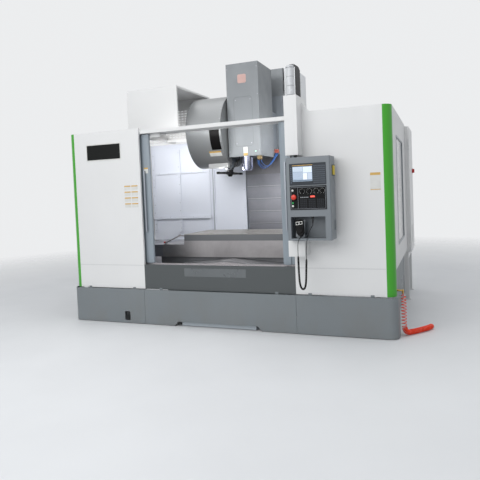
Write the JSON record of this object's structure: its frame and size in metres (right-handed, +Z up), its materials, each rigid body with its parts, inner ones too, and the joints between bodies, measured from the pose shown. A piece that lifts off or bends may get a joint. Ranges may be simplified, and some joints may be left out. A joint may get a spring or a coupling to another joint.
{
  "type": "vertical machining center",
  "caption": "Enclosed vertical machining centre: travelling T-slot table, telescopic way covers, lifting spindle head, drum tool magazine with swinging arm and a swivelling operator panel.",
  "frame": {"origin": "middle of the machine's footprint, on the floor", "axes": "+X to the machine's right as the operator sees it, +Y from the doors towards the column, +Z up"},
  "size_m": [4.6569, 3.345, 3.65],
  "materials": {
    "frame_paint": "satin",
    "column_paint": "satin",
    "white_paint": "satin powder coat",
    "grey_paint": "satin powder coat",
    "green_paint": "satin powder coat",
    "cover_steel": "brushed",
    "guard_steel": "brushed",
    "ground_iron": "ground",
    "machined_iron": "machined",
    "silver_paint": "satin",
    "smoked_window": "smoked",
    "door_glass": "clear laminated",
    "bright_steel": "polished",
    "black_steel": "black oxide",
    "pot_plastic": "moulded",
    "lamp_cover": "frosted",
    "unit_grey": "moulded",
    "plate_black": "membrane",
    "knob_black": "moulded",
    "stop_red": "moulded",
    "key_white": "moulded",
    "key_green": "moulded",
    "lid_yellow": "moulded",
    "isolator_red": "moulded",
    "blue_tube": "extruded",
    "cord_black": "matte",
    "hose_orange": "extruded"
  },
  "bodies": {
    "machine_frame": {"bed_casting": "frame_paint", "column_casting": "column_paint", "column_cover": "white_paint", "base_skirts": "grey_paint", "front_panels": "white_paint", "corner_trims": "green_paint", "side_walls": "white_paint", "fixed_windows": "smoked_window", "work_zone_liner": "white_paint", "door_header": "white_paint", "fixed_guards": "guard_steel", "magazine_canopy": "white_paint", "magazine_cover": "silver_paint", "changer_gearbox": "frame_paint", "panel_supports": "white_paint", "signal_lamp": "lamp_cover", "cabinet_body": "white_paint", "air_hose": "hose_orange"},
    "saddle": {"saddle_casting": "machined_iron"},
    "x_cover_pair": {"x_covers_middle": "cover_steel"},
    "table": {"work_table": "ground_iron", "table_guard": "cover_steel"},
    "y_cover": {"y_cover_middle": "cover_steel"},
    "head": {"head_casting": "column_paint", "head_cover": "silver_paint", "spindle_housing": "bright_steel", "coolant_lines": "blue_tube"},
    "spindle_rotor": {"spindle": "bright_steel"},
    "carousel": {"tool_carousel": "pot_plastic"},
    "pot": {"change_pot": "pot_plastic"},
    "changer_shaft": {"arm_shaft": "black_steel"},
    "changer_arm": {"change_arm": "black_steel"},
    "left_door": {"door_left": "grey_paint", "door_window_left": "door_glass"},
    "right_door": {"door_right": "grey_paint", "door_window_right": "door_glass"},
    "operator_panel": {"panel_housing": "grey_paint", "cnc_unit": "unit_grey", "operator_plate": "plate_black", "pendant_body": "knob_black", "pendant_cord": "cord_black"},
    "stop_button": {"emergency_stop": "stop_red"},
    "light_button": {"button_light": "key_white"},
    "start_button": {"button_start": "key_green"},
    "hold_button": {"button_hold": "key_white"},
    "port_cover": {"port_lid": "lid_yellow"},
    "hand_wheel": {"pendant_dial": "knob_black"},
    "axis_switch": {"axis_selector": "knob_black"},
    "step_switch": {"step_selector": "knob_black"},
    "electrics_door": {"cabinet_door": "white_paint"},
    "isolator": {"isolator_handle": "isolator_red"},
    "z_plate_1": {"z_cover_1": "cover_steel"},
    "z_plate_2": {"z_cover_2": "cover_steel"},
    "z_plate_3": {"z_cover_3": "cover_steel"},
    "z_plate_4": {"z_cover_4": "cover_steel"},
    "z_plate_5": {"z_cover_5": "cover_steel"},
    "switch_1": {"knob_1": "knob_black"},
    "switch_2": {"knob_2": "knob_black"},
    "switch_3": {"knob_3": "knob_black"},
    "switch_4": {"knob_4": "knob_black"}
  },
  "joints": [
    {"name": "saddle_slide", "type": "slide", "parent": "machine_frame", "child": "saddle", "axis": [0, 1, 0], "range_m": [-0.118, 0.582]},
    {"name": "table_slide", "type": "slide", "parent": "saddle", "child": "table", "axis": [1, 0, 0], "range_m": [-0.85, 0.65]},
    {"name": "x_cover_slide", "type": "slide", "parent": "saddle", "child": "x_cover_pair", "axis": [1, 0, 0], "range_m": [-0.425, 0.325]},
    {"name": "y_cover_slide", "type": "slide", "parent": "machine_frame", "child": "y_cover", "axis": [0, 1, 0], "range_m": [-0.059, 0.291]},
    {"name": "head_slide", "type": "slide", "parent": "machine_frame", "child": "head", "axis": [0, 0, 1], "range_m": [-0.7, 0]},
    {"name": "z_plate_1_slide", "type": "slide", "parent": "machine_frame", "child": "z_plate_1", "axis": [0, 0, 1], "range_m": [-0.5833, 0]},
    {"name": "z_plate_2_slide", "type": "slide", "parent": "machine_frame", "child": "z_plate_2", "axis": [0, 0, 1], "range_m": [-0.4667, 0]},
    {"name": "z_plate_3_slide", "type": "slide", "parent": "machine_frame", "child": "z_plate_3", "axis": [0, 0, 1], "range_m": [-0.35, 0]},
    {"name": "z_plate_4_slide", "type": "slide", "parent": "machine_frame", "child": "z_plate_4", "axis": [0, 0, 1], "range_m": [-0.2333, 0]},
    {"name": "z_plate_5_slide", "type": "slide", "parent": "machine_frame", "child": "z_plate_5", "axis": [0, 0, 1], "range_m": [-0.1167, 0]},
    {"name": "spindle_turn", "type": "hinge", "parent": "head", "child": "spindle_rotor", "pos_m": [-0.036, -0.0275, 1.984], "axis": [0, 0, 1], "continuous": true},
    {"name": "carousel_turn", "type": "hinge", "parent": "machine_frame", "child": "carousel", "pos_m": [-0.636, 0.1675, 2.58], "axis": [1, 0, 0], "range_deg": [-360, 360]},
    {"name": "pot_swing", "type": "hinge", "parent": "carousel", "child": "pot", "pos_m": [-0.67072, 0.1675, 2.14], "axis": [0, -1, 0], "range_deg": [0, 90]},
    {"name": "arm_lift", "type": "slide", "parent": "machine_frame", "child": "changer_shaft", "axis": [0, 0, 1], "range_m": [-0.135, 0]},
    {"name": "arm_turn", "type": "hinge", "parent": "changer_shaft", "child": "changer_arm", "pos_m": [-0.35336, 0.07, 1.961], "axis": [0, 0, 1], "range_deg": [0, 252.92]},
    {"name": "left_door_slide", "type": "slide", "parent": "machine_frame", "child": "left_door", "axis": [1, 0, 0], "range_m": [0, 0.907]},
    {"name": "right_door_slide", "type": "slide", "parent": "machine_frame", "child": "right_door", "axis": [1, 0, 0], "range_m": [-0.849, 0]},
    {"name": "panel_swivel", "type": "hinge", "parent": "machine_frame", "child": "operator_panel", "pos_m": [1.039, -1.4175, 1.568], "axis": [0, 0, 1], "range_deg": [-90, 5]},
    {"name": "stop_press", "type": "slide", "parent": "operator_panel", "child": "stop_button", "axis": [0, 1, 0], "range_m": [0, 0.004]},
    {"name": "light_press", "type": "slide", "parent": "operator_panel", "child": "light_button", "axis": [0, 1, 0], "range_m": [0, 0.004], "stiffness_N_per_m": 600, "springref_m": -0.002},
    {"name": "start_press", "type": "slide", "parent": "operator_panel", "child": "start_button", "axis": [0, 1, 0], "range_m": [0, 0.004], "stiffness_N_per_m": 600, "springref_m": -0.002},
    {"name": "hold_press", "type": "slide", "parent": "operator_panel", "child": "hold_button", "axis": [0, 1, 0], "range_m": [0, 0.004], "stiffness_N_per_m": 600, "springref_m": -0.002},
    {"name": "switch_1_turn", "type": "hinge", "parent": "operator_panel", "child": "switch_1", "pos_m": [1.177, -1.6305, 1.651], "axis": [0, -1, 0], "range_deg": [-120, 120]},
    {"name": "switch_2_turn", "type": "hinge", "parent": "operator_panel", "child": "switch_2", "pos_m": [1.256, -1.6305, 1.651], "axis": [0, -1, 0], "range_deg": [-120, 120]},
    {"name": "switch_3_turn", "type": "hinge", "parent": "operator_panel", "child": "switch_3", "pos_m": [1.332, -1.6305, 1.651], "axis": [0, -1, 0], "range_deg": [-120, 120]},
    {"name": "switch_4_turn", "type": "hinge", "parent": "operator_panel", "child": "switch_4", "pos_m": [1.398, -1.6305, 1.651], "axis": [0, -1, 0], "range_deg": [-120, 120]},
    {"name": "port_cover_swing", "type": "hinge", "parent": "operator_panel", "child": "port_cover", "pos_m": [1.493, -1.5125, 1.865], "axis": [0, 0, -1], "range_deg": [0, 110]},
    {"name": "hand_wheel_turn", "type": "hinge", "parent": "operator_panel", "child": "hand_wheel", "pos_m": [1.13166, -1.60721, 1.22745], "axis": [0, -0.9781, 0.2079], "continuous": true},
    {"name": "axis_switch_turn", "type": "hinge", "parent": "operator_panel", "child": "axis_switch", "pos_m": [1.10305, -1.59118, 1.30285], "axis": [0, -0.9781, 0.2079], "range_deg": [-60, 60]},
    {"name": "step_switch_turn", "type": "hinge", "parent": "operator_panel", "child": "step_switch", "pos_m": [1.14077, -1.59022, 1.30738], "axis": [0, -0.9781, 0.2079], "range_deg": [-45, 45]},
    {"name": "electrics_door_swing", "type": "hinge", "parent": "machine_frame", "child": "electrics_door", "pos_m": [2.145, 0.8125, 1.6], "axis": [0, 0, -1], "range_deg": [0, 110]},
    {"name": "isolator_turn", "type": "hinge", "parent": "electrics_door", "child": "isolator", "pos_m": [2.152, 1.5225, 1.9], "axis": [1, 0, 0], "range_deg": [0, 90]}
  ],
  "couplings": [
    {"joint": "x_cover_slide", "follows": "table_slide", "ratio": 0.5},
    {"joint": "y_cover_slide", "follows": "saddle_slide", "ratio": 0.5},
    {"joint": "z_plate_1_slide", "follows": "head_slide", "ratio": 0.83333},
    {"joint": "z_plate_2_slide", "follows": "head_slide", "ratio": 0.66667},
    {"joint": "z_plate_3_slide", "follows": "head_slide", "ratio": 0.5},
    {"joint": "z_plate_4_slide", "follows": "head_slide", "ratio": 0.33333},
    {"joint": "z_plate_5_slide", "follows": "head_slide", "ratio": 0.16667}
  ]
}
